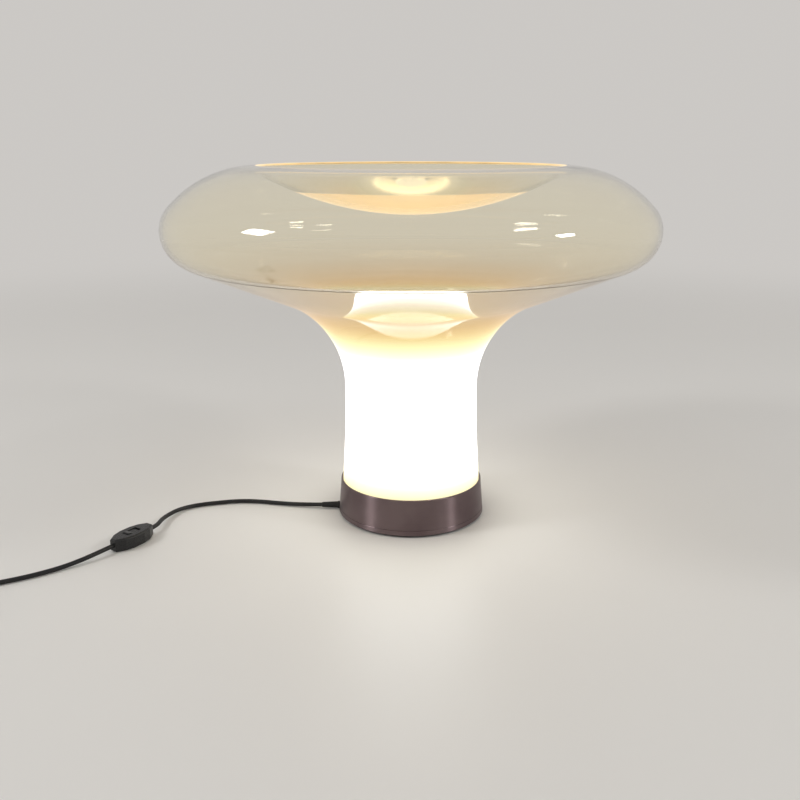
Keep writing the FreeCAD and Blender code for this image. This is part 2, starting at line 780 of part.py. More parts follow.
def buildHolder():
    w = d.holder_wall
    high = d.holder_cap_height
    shoulder = d.holder_radius - 4
    floor = w * 1.5
    points = [
        (d.nipple_radius, 0),
        (d.washer_radius, 0),
        (shoulder, high * 0.3),
        (d.holder_radius, high * 0.6),
        (d.holder_radius, high),
        (d.holder_radius - w, high),
        (d.holder_radius - w, high * 0.65),
        (shoulder - w, high * 0.37),
        (d.washer_radius, floor),
        (d.nipple_radius, floor),
    ]
    turnedPart("lampholder_cap", points, {2: (d.holder_radius, 1)}, z=holderBase)
    tall = d.holder_skirt_height
    mouth = d.screw_shell_radius + 0.6
    lip = 2
    edge = 1
    bevel = 0.8
    points = [
        (d.holder_radius - w, 0),
        (d.holder_radius, 0),
        (d.holder_radius, tall - edge),
        (d.holder_radius - edge, tall),
        (mouth + bevel, tall),
        (mouth, tall - bevel),
        (mouth, tall - lip),
        (d.holder_radius - w, tall - lip),
    ]
    turnedPart("lampholder_skirt", points, {2: (edge, 1)}, z=skirtBase)
    body = newBody("lampholder_insert")
    block = d.holder_radius - w
    turned(body, rectangle(0, 0, block, d.insert_height))
    holes = newSketch(body, lift=d.insert_height)
    for side in (-1, 1):
        drawCircle(holes, side * d.terminal_spread, 0, d.terminal_radius)
    pocketed(body, holes, d.insert_height)
    place(body, z=skirtBase - d.insert_height)
    keep(body, "lampholder_insert")
    shellWall = d.screw_shell_wall
    shellRise = 2.5
    shellFloor = 0.5
    shellHole = 8
    outer = wavyWall(d.screw_shell_radius, shellRise, d.screw_shell_height - shellRise, 0.15)
    inner = [(radius - shellWall, height) for radius, height in reversed(outer)]
    points = [(shellHole, 0), (d.screw_shell_radius, 0)] + outer + inner
    points += [(d.screw_shell_radius - shellWall, shellFloor), (shellHole, shellFloor)]
    turnedPart("lampholder_thread", points, z=skirtBase + shellFloor)
    strip = newBody("lampholder_contact")
    plate = newSketch(strip)
    halfStrip = (6, 3)
    sheet = 0.5
    drawOutline(plate, rectangle(-halfStrip[0], -halfStrip[1], halfStrip[0], halfStrip[1]))
    padded(strip, plate, sheet)
    dimple = newSketch(strip, lift=sheet)
    drawCircle(dimple, 0, 0, 2.5)
    padded(strip, dimple, d.bulb_tip_height - skirtBase - 0.8)
    place(strip, z=skirtBase)
    keep(strip, "lampholder_contact")
    terminal = screw("terminal_screw", d.terminal_radius, length=4, head=2.6, headHeight=1.6)
    turnOver = FreeCAD.Placement(Vector(0, 0, 0), FreeCAD.Rotation(Vector(1, 0, 0), 180))
    base = skirtBase - d.insert_height
    places = [shift(side * d.terminal_spread, 0, base).multiply(turnOver) for side in (-1, 1)]
    group("terminal_screws", terminal, places)


# Bulb: its own frame starts at the contact's tip


def buildBulb():
    globe = d.bulb_globe_radius
    centre = d.bulb_length - globe
    lean = 35
    neck = d.bulb_neck_radius
    wall = d.bulb_glass_wall
    capTop = d.bulb_cap_length
    tangentPoint = (globe * cosine(lean), centre - globe * sine(lean))
    swell = (neck + 1.8, capTop + 15)
    swellRadius = 34
    neckLow = capTop - 3
    neckHigh = capTop + 4
    outer = [
        (neck, neckLow),
        (neck, neckHigh),
        swell,
        tangentPoint,
        (0, d.bulb_length),
    ]
    inner = [
        (0, d.bulb_length - wall),
        (tangentPoint[0] - wall * cosine(lean), tangentPoint[1] + wall * sine(lean)),
        (swell[0] - wall, swell[1]),
        (neck - wall, neckHigh),
        (neck - wall, neckLow),
    ]
    arcs = {1: (swellRadius, -1), 3: (globe, 1), 5: (globe - wall, -1), 7: (swellRadius + wall, 1)}
    turnedPart("bulb_envelope", outer + inner, arcs, z=d.bulb_tip_height)
    threadBase = 7
    thread = wavyWall(d.bulb_cap_radius, threadBase, capTop - 4 - threadBase, 0.9)
    shell = [(d.bulb_cap_radius - 1.4, height) for height in (capTop, threadBase)]
    beadRadius = 5.2
    beadTop = threadBase - 1
    points = [(beadRadius, beadTop - 1), (9, beadTop - 1)] + thread
    points += [(d.bulb_cap_radius + 0.1, capTop)] + shell
    points += [(beadRadius, beadTop)]
    turnedPart("bulb_cap", points, z=d.bulb_tip_height)
    tipRadius = 2.8
    tipTop = 1.2
    points = [(0, tipTop), (tipRadius, tipTop), (beadRadius, 3), (beadRadius, beadTop), (0, beadTop)]
    turnedPart("bulb_insulator", points, z=d.bulb_tip_height)
    points = [(0, 0), (tipRadius, tipTop / 2), (tipRadius, tipTop), (0, tipTop)]
    turnedPart("bulb_tip", points, {0: (9, 1)}, z=d.bulb_tip_height)
    mountTop = centre - 14
    points = [
        (0, threadBase), (7, threadBase), (4.2, 22), (2.6, 34),
        (2.6, mountTop - 2), (1, mountTop), (0, mountTop),
    ]
    turnedPart("bulb_mount", points, z=d.bulb_tip_height)
    buildFilament(mountTop)


def buildFilament(mountTop):
    # Two support wires rise from the mount to the ends of a hanging arc of filament.
    spread = 11.0
    wire = 0.4
    lift = 14.0
    base = number(d.bulb_tip_height) + number(mountTop)
    wires = []
    for side in (-1, 1):
        foot = Vector(side * 1.2, 0, base - 0.4)
        head = Vector(side * spread, 0, base + lift)
        line = Part.LineSegment(foot, head).toShape()
        circle = Part.Wire(Part.Circle(foot, head.sub(foot), wire).toShape())
        wires.append(Part.Wire(line).makePipeShell([circle], True, False))
    supports = doc.addObject("Part::Feature", "bulb_wires")
    supports.Shape = Part.makeCompound(wires)
    keep(supports, "bulb_wires")
    left = Vector(-spread, 0, base + lift + 0.6)
    right = Vector(spread, 0, base + lift + 0.6)
    arc = Part.Arc(left, Vector(0, 0, base + lift + 4.6), right).toShape()
    tangentStart = arc.tangentAt(arc.FirstParameter)
    circle = Part.Wire(Part.Circle(left, tangentStart, wire).toShape())
    filament = doc.addObject("Part::Feature", "bulb_filament")
    filament.Shape = Part.Wire(arc).makePipeShell([circle], True, False)
    keep(filament, "bulb_filament")


# Cord: routes are lists of points chosen by hand, straight runs joined by tangent arcs


def unit(heading):
    angle = math.radians(number(heading))
    return Vector(math.cos(angle), math.sin(angle), 0)


def routeWire(name, route):
    points = [Vector(*point) for point in route]
    edges = []
    radii = []
    start = points[0]
    for before, corner, after in zip(points, points[1:], points[2:]):
        inward = corner.sub(before)
        outward = after.sub(corner)
        shorter = min(inward.Length, outward.Length)
        inward.normalize()
        outward.normalize()
        turn = inward.getAngle(outward)
        reach = 0.45 * shorter
        radii.append(reach / math.tan(turn / 2))
        arcStart = corner - inward * reach
        arcEnd = corner + outward * reach
        middle = (arcStart + arcEnd) * 0.5
        towards = corner.sub(middle)
        sag = radii[-1] * (1 - math.cos(turn / 2))
        arcMiddle = middle + towards.normalize() * sag
        edges.append(Part.LineSegment(start, arcStart).toShape())
        edges.append(Part.Arc(arcStart, arcMiddle, arcEnd).toShape())
        start = arcEnd
    edges.append(Part.LineSegment(start, points[-1]).toShape())
    print("%s: radii %s" % (name, " ".join("%.0f" % radius for radius in radii)))
    return Part.Wire(edges)


def tube(name, wire, radius):
    start = wire.Edges[0]
    point = start.valueAt(start.FirstParameter)
    circle = Part.Wire(Part.Circle(point, start.tangentAt(start.FirstParameter), radius).toShape())
    shape = wire.makePipeShell([circle], True, False)
    expected = math.pi * radius * radius * wire.Length
    print("%s: length %.1f, volume %.4f of section x length" % (name, wire.Length, shape.Volume / expected))
    feature = doc.addObject("Part::Feature", name)
    feature.Shape = shape
    keep(feature, name)
    return wire.Length


def biarc(start, startWay, end, endWay):
    # Two arcs from start to end that leave and arrive along the given unit vectors.
    chord = end.sub(start)
    both = startWay + endWay
    a = both.dot(both) - 4
    b = -2 * chord.dot(both)
    c = chord.dot(chord)
    reach = (-b - math.sqrt(b * b - 4 * a * c)) / (2 * a)
    corners = (start + startWay * reach, end - endWay * reach)
    joint = (corners[0] + corners[1]) * 0.5
    edges = []
    for first, corner, last in ((start, corners[0], joint), (joint, corners[1], end)):
        middle = (first + last) * 0.5
        towards = corner.sub(middle)
        half = last.sub(first).Length / 2
        sideLength = corner.sub(first).Length
        radius = half * sideLength / math.sqrt(sideLength * sideLength - half * half)
        sag = radius - math.sqrt(radius * radius - half * half)
        edges.append(Part.Arc(first, middle + towards.normalize() * sag, last).toShape())
    return edges


def coilStations():
    # Angle, radius and height at each half turn: in on the lower layer, one half turn that
    # climbs to the upper layer, then out again.
    inward = int(number(d.coil_half_turns_in))
    outward = int(number(d.coil_half_turns_out))
    step = number(d.coil_pitch) / 2
    low = number(d.cord_radius)
    firstAngle = number(d.coil_heading) - 90
    stations = []
    for half in range(inward + 1):
        stations.append((firstAngle + 180 * half, number(d.coil_inner_radius) + step * (inward - half), low))
    for half in range(outward + 1):
        angle = firstAngle + 180 * (inward + 1 + half)
        stations.append((angle, number(d.coil_inner_radius) + step * half, low + number(d.coil_layer_step)))
    return stations


def coilPoint(station):
    angle, radius, height = station
    turn = math.radians(angle)
    middle = Vector(number(d.coil_x), number(d.coil_y), 0)
    point = middle + Vector(radius * math.cos(turn), radius * math.sin(turn), height)
    return point, Vector(-math.sin(turn), math.cos(turn), 0)


def buildCoil():
    places = [coilPoint(station) for station in coilStations()]
    straight = 2 * number(d.cord_radius)
    first, firstWay = places[0]
    last, lastWay = places[-1]
    edges = [Part.LineSegment(first - firstWay * straight, first).toShape()]
    for (start, startWay), (end, endWay) in zip(places, places[1:]):
        edges += biarc(start, startWay, end, endWay)
    edges.append(Part.LineSegment(last, last + lastWay * straight).toShape())
    wire = Part.Wire(edges)
    length = tube("cord_coil", wire, number(d.cord_radius))
    print("cord_coil: least gap to itself %.2f" % leastGap(wire))
    return first - firstWay * straight, last + lastWay * straight, length


def leastGap(wire):
    # Smallest distance between parts of the path that are over a third of a turn apart.
    spacing = 1.5
    points = wire.discretize(Distance=spacing)
    skip = int(number(d.coil_inner_radius) * 2 / spacing)
    least = 1e9
    for i in range(len(points)):
        for j in range(i + skip, len(points)):
            least = min(least, points[i].distanceToPoint(points[j]))
    return least - 2 * number(d.cord_radius)


def buildCords(exitX):
    heading = unit(d.switch_heading)
    middle = Vector(number(d.switch_x), number(d.switch_y), number(d.switch_half_height))
    half = number(d.switch_length) / 2
    hold = 6.0
    entry = middle - heading * half
    leaving = middle + heading * half
    floor = number(d.cord_radius)
    toSwitch = [
        (exitX, 0, number(d.cord_exit_height)),
        (-124, 3.0, 3.1),
        (-150, 8.8, floor),
        (-176, 14.8, floor),
        (-199, 16.0, floor),
        (-222, 10.8, floor),
        (-245, 3.6, floor),
        (-261.5, -9.0, 2.8),
        (-269, -26.5, 4.1),
        (-272.8, -46, 5.8),
        tuple(entry - heading * 9),
        tuple(entry + heading * hold),
    ]
    lengths = [tube("cord_to_switch", routeWire("cord_to_switch", toSwitch), number(d.cord_radius))]
    coilStart, coilEnd, coilLength = buildCoil()
    coilWay = unit(d.coil_heading)
    toCoil = [
        tuple(leaving - heading * hold),
        tuple(leaving + heading * 12),
        (-324.5, -139.5, 4.4),
        (-340.5, -153.5, 2.5),
        (-361, -169.5, floor),
        (-384, -183, floor),
        tuple(coilStart - coilWay * 24),
        tuple(coilStart),
    ]
    lengths.append(tube("cord_to_coil", routeWire("cord_to_coil", toCoil), number(d.cord_radius)))
    plugWay = unit(d.plug_heading)
    plugEnd = Vector(number(d.plug_x), number(d.plug_y), number(d.plug_axis_height))
    reliefEnd = plugEnd - plugWay * number(d.plug_relief_length)
    tail = [
        tuple(coilEnd),
        (-462, -229.7, 7.7),
        (-475, -247.5, 7.3),
        tuple(reliefEnd),
    ]
    lengths.append(tube("cord_to_plug", routeWire("cord_to_plug", tail), number(d.cord_radius)))
    return lengths, coilLength


def buildLeads():
    # Two thin leads rise from the cord's end through the grommet and nipple to the terminals.
    radius = 0.8
    start = -number(d.inner_cord_end)
    low = number(d.cord_exit_height)
    terminal = number(skirtBase - d.insert_height) - 2.8
    leads = []
    for side in (-1, 1):
        off = 1.2 * side
        route = [
            (start, off, low),
            (start + 14, off, low + 1),
            (-4, off, number(plateTop) + 2),
            (-1.0, off, number(seatTop) + 2),
            (off, off, number(bracketTop)),
            (off, off, terminal - 2.4),
            (side * 7.4, off, terminal),
        ]
        wire = routeWire("inner lead", route)
        edge = wire.Edges[0]
        circle = Part.Circle(edge.valueAt(edge.FirstParameter), edge.tangentAt(edge.FirstParameter), radius)
        leads.append(wire.makePipeShell([Part.Wire(circle.toShape())], True, False))
    feature = doc.addObject("Part::Feature", "inner_leads")
    feature.Shape = Part.makeCompound(leads)
    keep(feature, "inner_leads")


# Inline switch, in a frame of its own: x along the cord, z up from the table


def switchOutline():
    halfLength = d.switch_length / 2
    halfWidth = d.switch_width / 2
    halfEnd = d.switch_end_width / 2
    shoulder = d.switch_flat / 2
    corner = (halfLength - d.switch_corner_inset, halfWidth - d.switch_corner_drop)
    return [
        (-halfLength, -halfEnd), (-corner[0], -corner[1]), (-shoulder, -halfWidth), (shoulder, -halfWidth),
        (corner[0], -corner[1]), (halfLength, -halfEnd), (halfLength, halfEnd), corner,
        (shoulder, halfWidth), (-shoulder, halfWidth), (-corner[0], corner[1]), (-halfLength, halfEnd),
    ]


def placeSwitch(item):
    return place(item, d.switch_x, d.switch_y, 0, d.switch_heading)


def switchShell(name, upper):
    body = newBody(name)
    high = d.switch_half_height
    outline = newSketch(body)
    drawOutline(outline, switchOutline())
    padded(body, outline, high)
    rim = flatAt(high if upper else 0)
    rounded(body, d.switch_round, rim)
    wall = d.switch_wall
    hollow = newSketch(body, lift=0 if upper else high)
    halfHollow = (d.switch_length / 2 - 10, d.switch_width / 2 - 3.6)
    drawOutline(hollow, rectangle(-halfHollow[0], -halfHollow[1], halfHollow[0], halfHollow[1]))
    pocketed(body, hollow, high - wall, up=upper)
    channel = newSketch(body, "YZ_Plane")
    drawCircle(channel, 0, 0 if upper else high, d.cord_radius)
    pocketed(body, channel, d.switch_length + 2, middle=True)
    return body


def buildSwitch():
    high = d.switch_half_height
    wall = d.switch_wall
    screwPlaces = [(way * d.switch_screw_x, way * d.switch_screw_y) for way in (-1, 1)]
    headDepth = 1.2
    bite = 0.1  # how far bosses and cheeks run into the wall that carries them
    threadDepth = 5
    lower = switchShell("switch_lower_half", upper=False)
    upper = switchShell("switch_upper_half", upper=True)

    def screwCircles(body, radius, lift=0):
        sketch = newSketch(body, lift=lift)
        for x, y in screwPlaces:
            drawCircle(sketch, x, y, radius)
        return sketch

    padded(lower, screwCircles(lower, d.switch_boss_radius, wall - bite), high - wall + bite)
    padded(upper, screwCircles(upper, d.switch_boss_radius), high - wall + bite)
    pocketed(lower, screwCircles(lower, d.switch_screw_radius), high, up=True)
    pocketed(lower, screwCircles(lower, d.switch_boss_radius), headDepth, up=True)
    pocketed(upper, screwCircles(upper, d.switch_screw_radius), threadDepth, up=True)
    # cheeks that carry the pivot pin, and the window for the rocker
    cheekInner = d.rocker_width / 2 + 0.35
    cheekOuter = d.pivot_length / 2
    cheekBase = 2.5
    halfCheek = 2.6
    cheeks = newSketch(upper, lift=cheekBase)
    for side in (-1, 1):
        drawOutline(cheeks, rectangle(-halfCheek, side * cheekInner, halfCheek, side * cheekOuter))
    padded(upper, cheeks, high - wall - cheekBase + bite)
    window = newSketch(upper, lift=high)
    halfWindow = (d.rocker_length / 2 + d.window_gap, d.rocker_width / 2 + d.window_gap)
    drawOutline(window, rectangle(-halfWindow[0], -halfWindow[1], halfWindow[0], halfWindow[1]))
    pocketed(upper, window, wall + 0.2)
    pivot = newSketch(upper, "XZ_Plane")
    drawCircle(pivot, 0, d.pivot_height - high, d.pivot_radius)
    pocketed(upper, pivot, d.pivot_length, middle=True)
    placeSwitch(keep(lower, "switch_lower_half"))
    place(keep(upper, "switch_upper_half"), d.switch_x, d.switch_y, high, d.switch_heading)
    buildRocker()
    screwBody = screw("switch_screw", d.switch_screw_radius, length=high + 3.4, head=1.8, headHeight=1.1)
    heading = shift(d.switch_x, d.switch_y, 0, angle=d.switch_heading)
    under = FreeCAD.Rotation(Vector(1, 0, 0), 180)
    places = [heading.multiply(FreeCAD.Placement(Vector(number(x), number(y), headDepth), under))
              for x, y in screwPlaces]
    group("switch_screws", screwBody, places)
    contacts = newBody("contact")
    foot = newSketch(contacts, "XZ_Plane")
    reach = 3
    rise = 4.5
    sheet = 0.6
    drawOutline(foot, [(-reach, 0), (reach, 0), (reach, rise), (reach - sheet, rise), (reach - sheet, sheet),
                       (-reach, sheet)])
    padded(contacts, foot, 5, middle=True)
    spread = 11
    places = [heading.multiply(shift(spread, 0, wall)), heading.multiply(shift(-spread, 0, wall, angle=180))]
    group("switch_contacts", contacts, places)


def buildRocker():
    # Rocker in its ON position: its +X end is up. Its own frame is centred on the pivot.
    half = d.rocker_length / 2 - 0.4
    top = 2 * d.switch_half_height - d.pivot_height + 0.5
    keel = (4, -2.6)
    endBase = -0.4
    body = newBody("switch_rocker")
    side = newSketch(body, "XZ_Plane")
    points = [
        (-half, endBase), (-keel[0], keel[1]), keel, (half, endBase), (half, top - 1.4),
        (half - 1, top - 0.5), (0, top - 1.2), (-half + 1, top - 0.5), (-half, top - 1.4),
    ]
    drawOutline(side, points, {5: (40, 1), 6: (40, 1)})
    padded(body, side, d.rocker_width, middle=True)
    bore = newSketch(body, "XZ_Plane")
    drawCircle(bore, 0, 0, d.pivot_radius + d.pivot_clearance)
    pocketed(body, bore, d.rocker_width + 2, middle=True)
    base = shift(d.switch_x, d.switch_y, d.pivot_height, angle=d.switch_heading)
    tilt = FreeCAD.Placement(Vector(0, 0, 0), FreeCAD.Rotation(Vector(0, 1, 0), -number(d.rocker_tilt)))
    body.Placement = base.multiply(tilt)
    keep(body, "switch_rocker")
    bridge = newBody("switch_bridge")
    strip = newSketch(bridge)
    halfStrip = (9, 2)
    sheet = 0.6
    drawOutline(strip, rectangle(-halfStrip[0], -halfStrip[1], halfStrip[0], halfStrip[1]))
    padded(bridge, strip, sheet)
    bridge.Placement = base.multiply(tilt).multiply(shift(0, 0, keel[1] - sheet))
    keep(bridge, "switch_bridge")
    pin = newBody("switch_pivot_pin")
    circle = newSketch(pin, "XZ_Plane")
    drawCircle(circle, 0, 0, d.pivot_radius)
    padded(pin, circle, d.pivot_length, middle=True)
    place(pin, d.switch_x, d.switch_y, d.pivot_height, d.switch_heading)
    keep(pin, "switch_pivot_pin")


# Plug, in a frame of its own: x along the pins, from the end of the strain relief


def buildPlug():
    body = newBody("plug_body")
    plan = newSketch(body, lift=-d.plug_thickness / 2)
    half = d.plug_width / 2
    far = d.plug_length
    back = (0, 6)
    grip = (9, 9.5)
    flank = far - 12
    gripRadius = 32
    points = [
        (back[0], -back[1]), (grip[0], -grip[1]), (flank, -half), (far, -half),
        (far, half), (flank, half), grip, back,
    ]
    drawOutline(plan, points, {1: (gripRadius, 1), 5: (gripRadius, 1)})
    padded(body, plan, d.plug_thickness)
    level = d.plug_thickness / 2
    rounded(body, 3.0, lambda edge: flatAt(level)(edge) or flatAt(-level)(edge))
    sockets = newSketch(body, "YZ_Plane", lift=far)
    for side in (-1, 1):
        drawCircle(sockets, side * d.pin_spread / 2, 0, d.pin_root_radius)
    pocketed(body, sockets, d.pin_root)
    keep(body, "plug_body")
    place(body, d.plug_x, d.plug_y, d.plug_axis_height, d.plug_heading)
    heading = shift(d.plug_x, d.plug_y, d.plug_axis_height, angle=d.plug_heading)
    pin = newBody("pin")
    tip = d.pin_round
    length = d.pin_length
    points = [
        (0, -d.pin_root), (d.pin_root_radius, -d.pin_root), (d.pin_root_radius, 0), (d.pin_radius, 0),
        (d.pin_radius, length - tip), (d.pin_radius - tip, length), (0, length),
    ]
    turned(pin, points, {4: (tip, 1)})
    alongX = Vector(0, 1, 0)
    places = [heading.multiply(shift(far, side * d.pin_spread / 2, 0, alongX, 90)) for side in (-1, 1)]
    group("plug_pins", pin, places)
    relief = newBody("plug_relief")
    ribs = []
    count = 5
    length = number(d.plug_relief_length)
    step = length / count
    rootRadius = 5.0
    taper = 1.6
    groove = 0.7
    for index in range(count):
        low = step * index
        outer = rootRadius - taper * index / count
        ribs += [(outer, low), (outer, low + step * 0.62)]
        if index < count - 1:
            ribs += [(outer - groove, low + step * 0.68), (outer - groove, low + step * 0.94)]
    points = [(0, 0)] + ribs + [(3.0, length), (0, length)]
    turned(relief, points)
    relief.Placement = heading.multiply(shift(0, 0, 0, alongX, -90))
    keep(relief, "plug_relief")


# Everything in order, then the checks and the files

buildGlass()
buildPad()
buildPlate()
buildRing()
buildSeat()
buildFasteners()
buildClamp()
buildGasket()
exitX = buildBush()
buildInnerCord(exitX)
buildGrommet()
buildBracket()
buildNipple()
buildHolder()
buildBulb()
buildLeads()
lengths, coilLength = buildCords(exitX)
buildSwitch()
buildPlug()
doc.recompute()

print("cord outside the lamp: %.0f" % (sum(lengths) + coilLength + number(d.switch_length) - 12))
for item in doc.Objects:
    if "Invalid" in item.State or "Error" in item.State:
        raise ValueError("%s is %s" % (item.Name, item.State))
for name, item in parts:
    if item.Shape.isNull() or not item.Shape.isValid():
        raise ValueError("%s has no valid shape" % name)
    item.Shape.exportStep("parts/%s.step" % name)
print("%d nodes" % len(parts))
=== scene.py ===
import math

import bmesh
import bpy
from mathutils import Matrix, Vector


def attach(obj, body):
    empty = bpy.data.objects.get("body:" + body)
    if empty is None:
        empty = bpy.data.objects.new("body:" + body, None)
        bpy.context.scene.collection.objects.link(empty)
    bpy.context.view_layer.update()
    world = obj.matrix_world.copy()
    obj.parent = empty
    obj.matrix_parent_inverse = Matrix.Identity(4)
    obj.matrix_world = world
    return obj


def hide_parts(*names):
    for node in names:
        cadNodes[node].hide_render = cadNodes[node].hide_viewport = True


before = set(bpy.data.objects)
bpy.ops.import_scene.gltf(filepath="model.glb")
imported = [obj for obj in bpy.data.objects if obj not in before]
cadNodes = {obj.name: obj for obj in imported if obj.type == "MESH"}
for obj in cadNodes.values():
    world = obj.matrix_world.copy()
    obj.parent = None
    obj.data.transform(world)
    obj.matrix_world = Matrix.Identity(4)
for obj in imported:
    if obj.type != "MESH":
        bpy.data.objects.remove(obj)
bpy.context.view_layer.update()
print("frame loaded:", len(cadNodes), "pieces")


# camera, at the photograph's viewing angle

cameraSetup = {
    "lens": 40.455,
    "sensor": 36.0,
    "shiftX": -0.01375,
    "place": (0.0, -0.954, 0.403),
    "lookDown": 16.05,
    "clip": (0.01, 60.0),
}


def addCamera(setup):
    data = bpy.data.cameras.new("photoCamera")
    data.sensor_width = setup["sensor"]
    data.lens = setup["lens"]
    data.shift_x = setup["shiftX"]
    data.clip_start, data.clip_end = setup["clip"]
    holder = bpy.data.objects.new("photoCamera", data)
    bpy.context.scene.collection.objects.link(holder)
    holder.location = setup["place"]
    holder.rotation_euler = (math.radians(90 - setup["lookDown"]), 0, 0)
    bpy.context.scene.camera = holder


addCamera(cameraSetup)
print("camera set")


# cord: its route in metres, as control points of smooth lines. The coil and what follows are a guess

cordSetup = {
    "radius": 0.0023,
    "bushEnd": (-0.1014, 0.0, 0.0044),
    "switchMiddle": (-0.2906, -0.0934, 0.0068),
    "switchHeading": 238.0,
    "switchHalf": 0.025,
    "switchHold": 0.006,
    "switchApproach": 0.009,
    "switchRunOut": 0.012,
    "toSwitch": [
        (-0.124, 0.003, 0.0031), (-0.150, 0.0088, 0.0023), (-0.176, 0.0148, 0.0023), (-0.199, 0.016, 0.0023),
        (-0.222, 0.0108, 0.0023), (-0.245, 0.0036, 0.0023), (-0.2615, -0.009, 0.0028),
        (-0.269, -0.0265, 0.0041), (-0.2728, -0.046, 0.0058),
    ],
    "toCoil": [
        (-0.3245, -0.1395, 0.0044), (-0.3405, -0.1535, 0.0025), (-0.361, -0.1695, 0.0023),
        (-0.384, -0.183, 0.0023),
    ],
    "toPlug": [(-0.462, -0.2297, 0.0077), (-0.475, -0.2475, 0.0073)],
    "coilMiddle": (-0.4215, -0.2474),
    "coilHeading": 209.4,
    "coilInner": 0.0192,
    "coilPitch": 0.006,
    "coilLift": 0.006,
    "coilLeadIn": 0.0286,
    "halfTurnsIn": 7,
    "halfTurnsOut": 6,
    "pointsPerHalfTurn": 8,
    "plugPlace": (-0.4828, -0.2907, 0.007),
    "plugHeading": 260.0,
    "reliefLength": 0.022,
}


def headingVector(degrees):
    angle = math.radians(degrees)
    return Vector((math.cos(angle), math.sin(angle), 0))


def coilRoute(setup):
    # in on the lower layer, one half turn that climbs, then out on the upper layer
    step = setup["coilPitch"] / 2
    stations = []
    for half in range(setup["halfTurnsIn"] + 1):
        stations.append((setup["coilInner"] + step * (setup["halfTurnsIn"] - half), setup["radius"]))
    for half in range(setup["halfTurnsOut"] + 1):
        stations.append((setup["coilInner"] + step * half, setup["radius"] + setup["coilLift"]))
    steps = setup["pointsPerHalfTurn"]
    swell = 1 / math.cos(math.pi / steps / 2)  # the line runs inside its control points by this much
    route = []
    for half in range(len(stations) - 1):
        for k in range(steps):
            share = k / steps
            radius = stations[half][0] + (stations[half + 1][0] - stations[half][0]) * share
            height = stations[half][1] + (stations[half + 1][1] - stations[half][1]) * share
            angle = math.radians(setup["coilHeading"] - 90 + 180 * (half + share))
            x = setup["coilMiddle"][0] + radius * swell * math.cos(angle)
            y = setup["coilMiddle"][1] + radius * swell * math.sin(angle)
            route.append((x, y, height))
    return route


def addCord(name, route, radius):
    curve = bpy.data.curves.new(name, "CURVE")
    curve.dimensions = "3D"
    curve.bevel_depth = 1.0  # each point's own radius scales this, and keeps the curve's box true
    curve.bevel_resolution = 6
    curve.resolution_u = 10
    curve.use_fill_caps = True
    line = curve.splines.new("NURBS")
    line.points.add(len(route) - 1)
    for point, place in zip(line.points, route):
        point.co = (*place, 1.0)
        point.radius = radius
    line.order_u = 3
    line.use_endpoint_u = True
    piece = bpy.data.objects.new(name, curve)
    bpy.context.scene.collection.objects.link(piece)
    return piece


def addCords(setup):
    middle = Vector(setup["switchMiddle"])
    heading = headingVector(setup["switchHeading"])
    entry = middle - heading * setup["switchHalf"]
    leaving = middle + heading * setup["switchHalf"]
    hold = heading * setup["switchHold"]
    approach = entry - heading * setup["switchApproach"]
    runOut = leaving + heading * setup["switchRunOut"]
    first = [setup["bushEnd"], *setup["toSwitch"], tuple(approach), tuple(entry + hold)]
    lampCord = addCord("cord_lamp_to_switch", first, setup["radius"])
    coilWay = headingVector(setup["coilHeading"])
    coil = coilRoute(setup)
    plugWay = headingVector(setup["plugHeading"])
    reliefEnd = Vector(setup["plugPlace"]) - plugWay * setup["reliefLength"]
    leadIn = Vector(coil[0]) - coilWay * setup["coilLeadIn"]
    second = [tuple(leaving - hold), tuple(runOut), *setup["toCoil"], tuple(leadIn), *coil]
    second += [*setup["toPlug"], tuple(reliefEnd)]
    plugCord = addCord("cord_switch_to_plug", second, setup["radius"])
    return lampCord, plugCord


lampCord, plugCord = addCords(cordSetup)
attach(lampCord, "base")
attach(plugCord, "base")
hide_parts("cord_to_switch")
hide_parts("cord_to_coil", "cord_coil", "cord_to_plug")
print("cords laid")


# shader maths: a Tap is one output of a node, and sums on it add Math nodes


class Tap:
    def __init__(self, finish, socket):
        self.finish = finish
        self.socket = socket

    def sum(self, operation, first, second):
        return self.finish.node("ShaderNodeMath", {"operation": operation}, {0: first, 1: second})

    def __add__(self, other):
        return self.sum("ADD", self, other)

    def __radd__(self, other):
        return self.sum("ADD", other, self)

    def __sub__(self, other):
        return self.sum("SUBTRACT", self, other)

    def __rsub__(self, other):
        return self.sum("SUBTRACT", other, self)

    def __mul__(self, other):
        return self.sum("MULTIPLY", self, other)

    def __rmul__(self, other):
        return self.sum("MULTIPLY", other, self)

    def __truediv__(self, other):
        return self.sum("DIVIDE", self, other)

    def __rtruediv__(self, other):
        return self.sum("DIVIDE", other, self)


